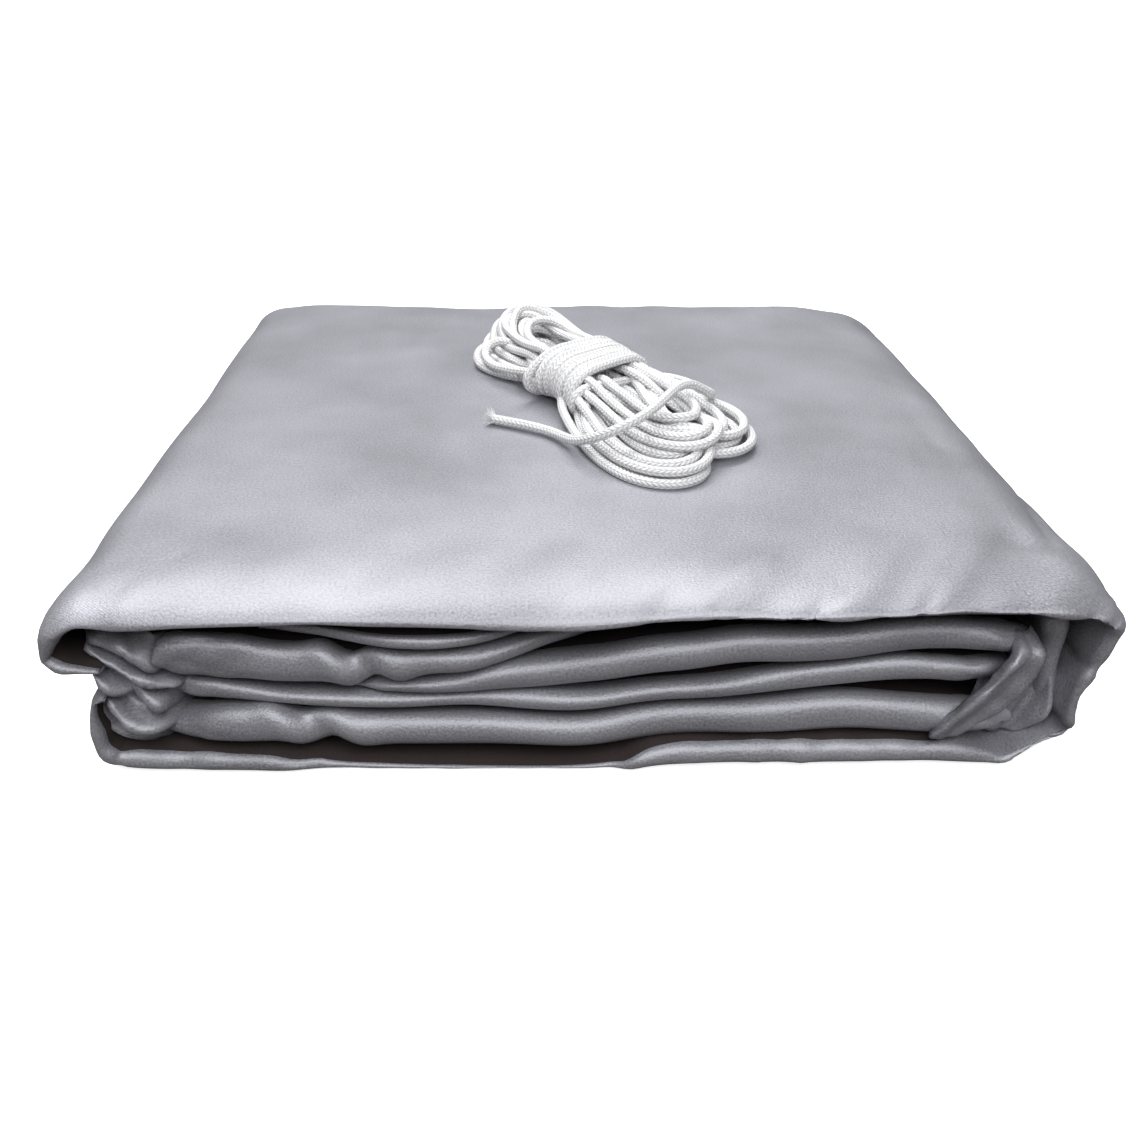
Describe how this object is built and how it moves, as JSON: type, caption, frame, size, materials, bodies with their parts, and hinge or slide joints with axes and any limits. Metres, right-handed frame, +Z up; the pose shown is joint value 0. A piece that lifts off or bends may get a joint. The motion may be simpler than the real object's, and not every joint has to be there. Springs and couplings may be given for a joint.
{
  "type": "folded fabric cover with tie cord",
  "caption": "Flat-folded coated-polyester protective cover, book-folded along one side, with a loose hank of white braided tie cord lying on top",
  "frame": {"origin": "centre of the folded pack's base, on the surface it lies on; the cord on top is not counted", "axes": "+Z up; +X towards the closed spine of the book fold; -Y towards the front, where the rolled fold edges show"},
  "size_m": [0.4305, 0.4095, 0.1132],
  "materials": {
    "cloth": "satin, silver-grey coated polyester with a fine plain weave",
    "cord": "matte white braided polypropylene",
    "elastic": "matte, woven over rubber",
    "eyelet": "polished, pressed"
  },
  "bodies": {
    "bottom_half": {"bottom_panel": "cloth", "lower_fold_deep": "cloth", "lower_fold_shallow": "cloth", "lower_spine": "cloth", "lower_left_edge": "cloth", "hem_elastic": "elastic", "tie_eyelet_left": "eyelet", "tie_eyelet_right": "eyelet"},
    "top_half": {"top_panel": "cloth", "under_layer": "cloth", "upper_fold_left": "cloth", "upper_fold_right": "cloth", "upper_spine": "cloth", "upper_left_edge": "cloth"},
    "cord_hank": {"cord_hank": "cord", "cord_wraps": "cord", "cord_tail": "cord"}
  },
  "joints": [
    {"name": "book_fold", "type": "hinge", "parent": "bottom_half", "child": "top_half", "pos_m": [0.2155, 0, 0.045], "axis": [0, 1, 0], "range_deg": [0, 90]},
    {"name": "hank_lift", "type": "slide", "parent": "top_half", "child": "cord_hank", "axis": [0, 0, 1], "range_m": [0, 0.15]}
  ]
}
